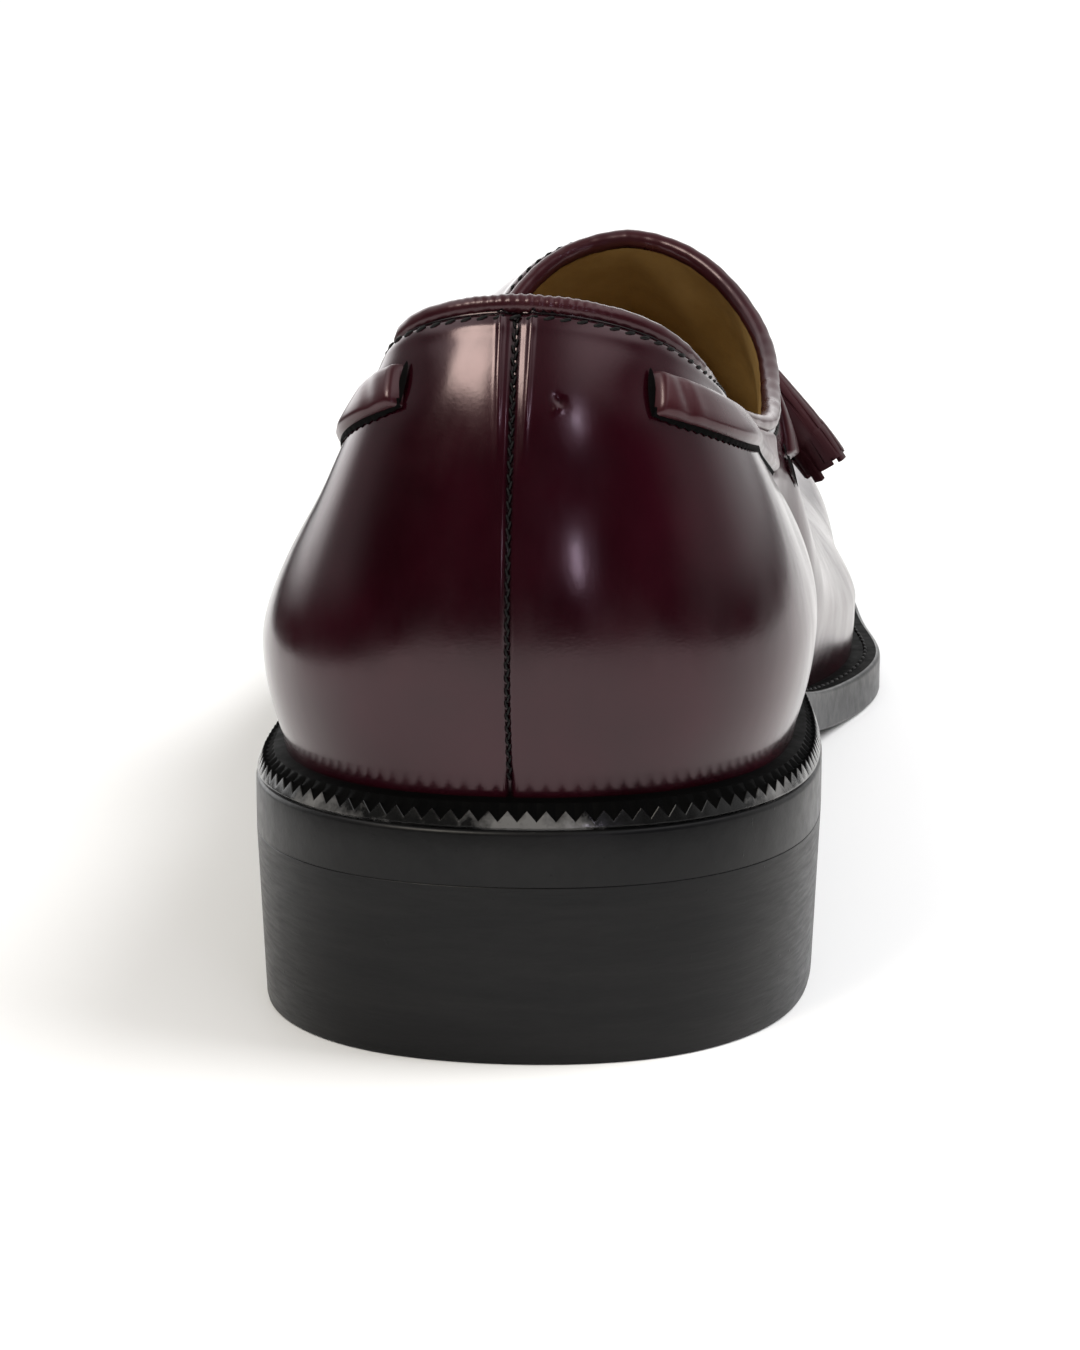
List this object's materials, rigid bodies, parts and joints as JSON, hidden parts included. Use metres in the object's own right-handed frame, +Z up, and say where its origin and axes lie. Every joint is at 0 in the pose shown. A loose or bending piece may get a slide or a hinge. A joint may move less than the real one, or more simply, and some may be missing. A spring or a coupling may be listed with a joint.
{
  "type": "tassel loafer",
  "caption": "Left slip-on dress shoe in glossy burgundy leather with side laces, a knot with tassels, raised apron seam, black leather sole and stacked heel",
  "frame": {"origin": "on the ground under the middle of the heel, at the heel's flat bottom", "axes": "+Z up, +Y toward the toe, +X to the medial (inner) side of this left shoe"},
  "size_m": [0.0979, 0.303, 0.0871],
  "materials": {
    "burgundy_leather": "very dark burgundy, polished to a high gloss",
    "tan_lining": "tan-olive lining leather, matte",
    "black_sole_edge": "black edge dressing, satin",
    "black_heel_stack": "black stacked heel, semi-matte with fine scratches"
  },
  "bodies": {
    "root": {"upper": "burgundy_leather", "topline_bead": "burgundy_leather", "lace_medial_rear": "burgundy_leather", "lace_lateral_rear": "burgundy_leather", "lace_medial_front": "burgundy_leather", "lace_lateral_front": "burgundy_leather", "knot": "burgundy_leather", "tassel_medial": "burgundy_leather", "tassel_lateral": "burgundy_leather", "insole": "tan_lining", "outsole": "black_sole_edge", "heel_rand": "black_sole_edge", "heel": "black_heel_stack"}
  },
  "joints": []
}
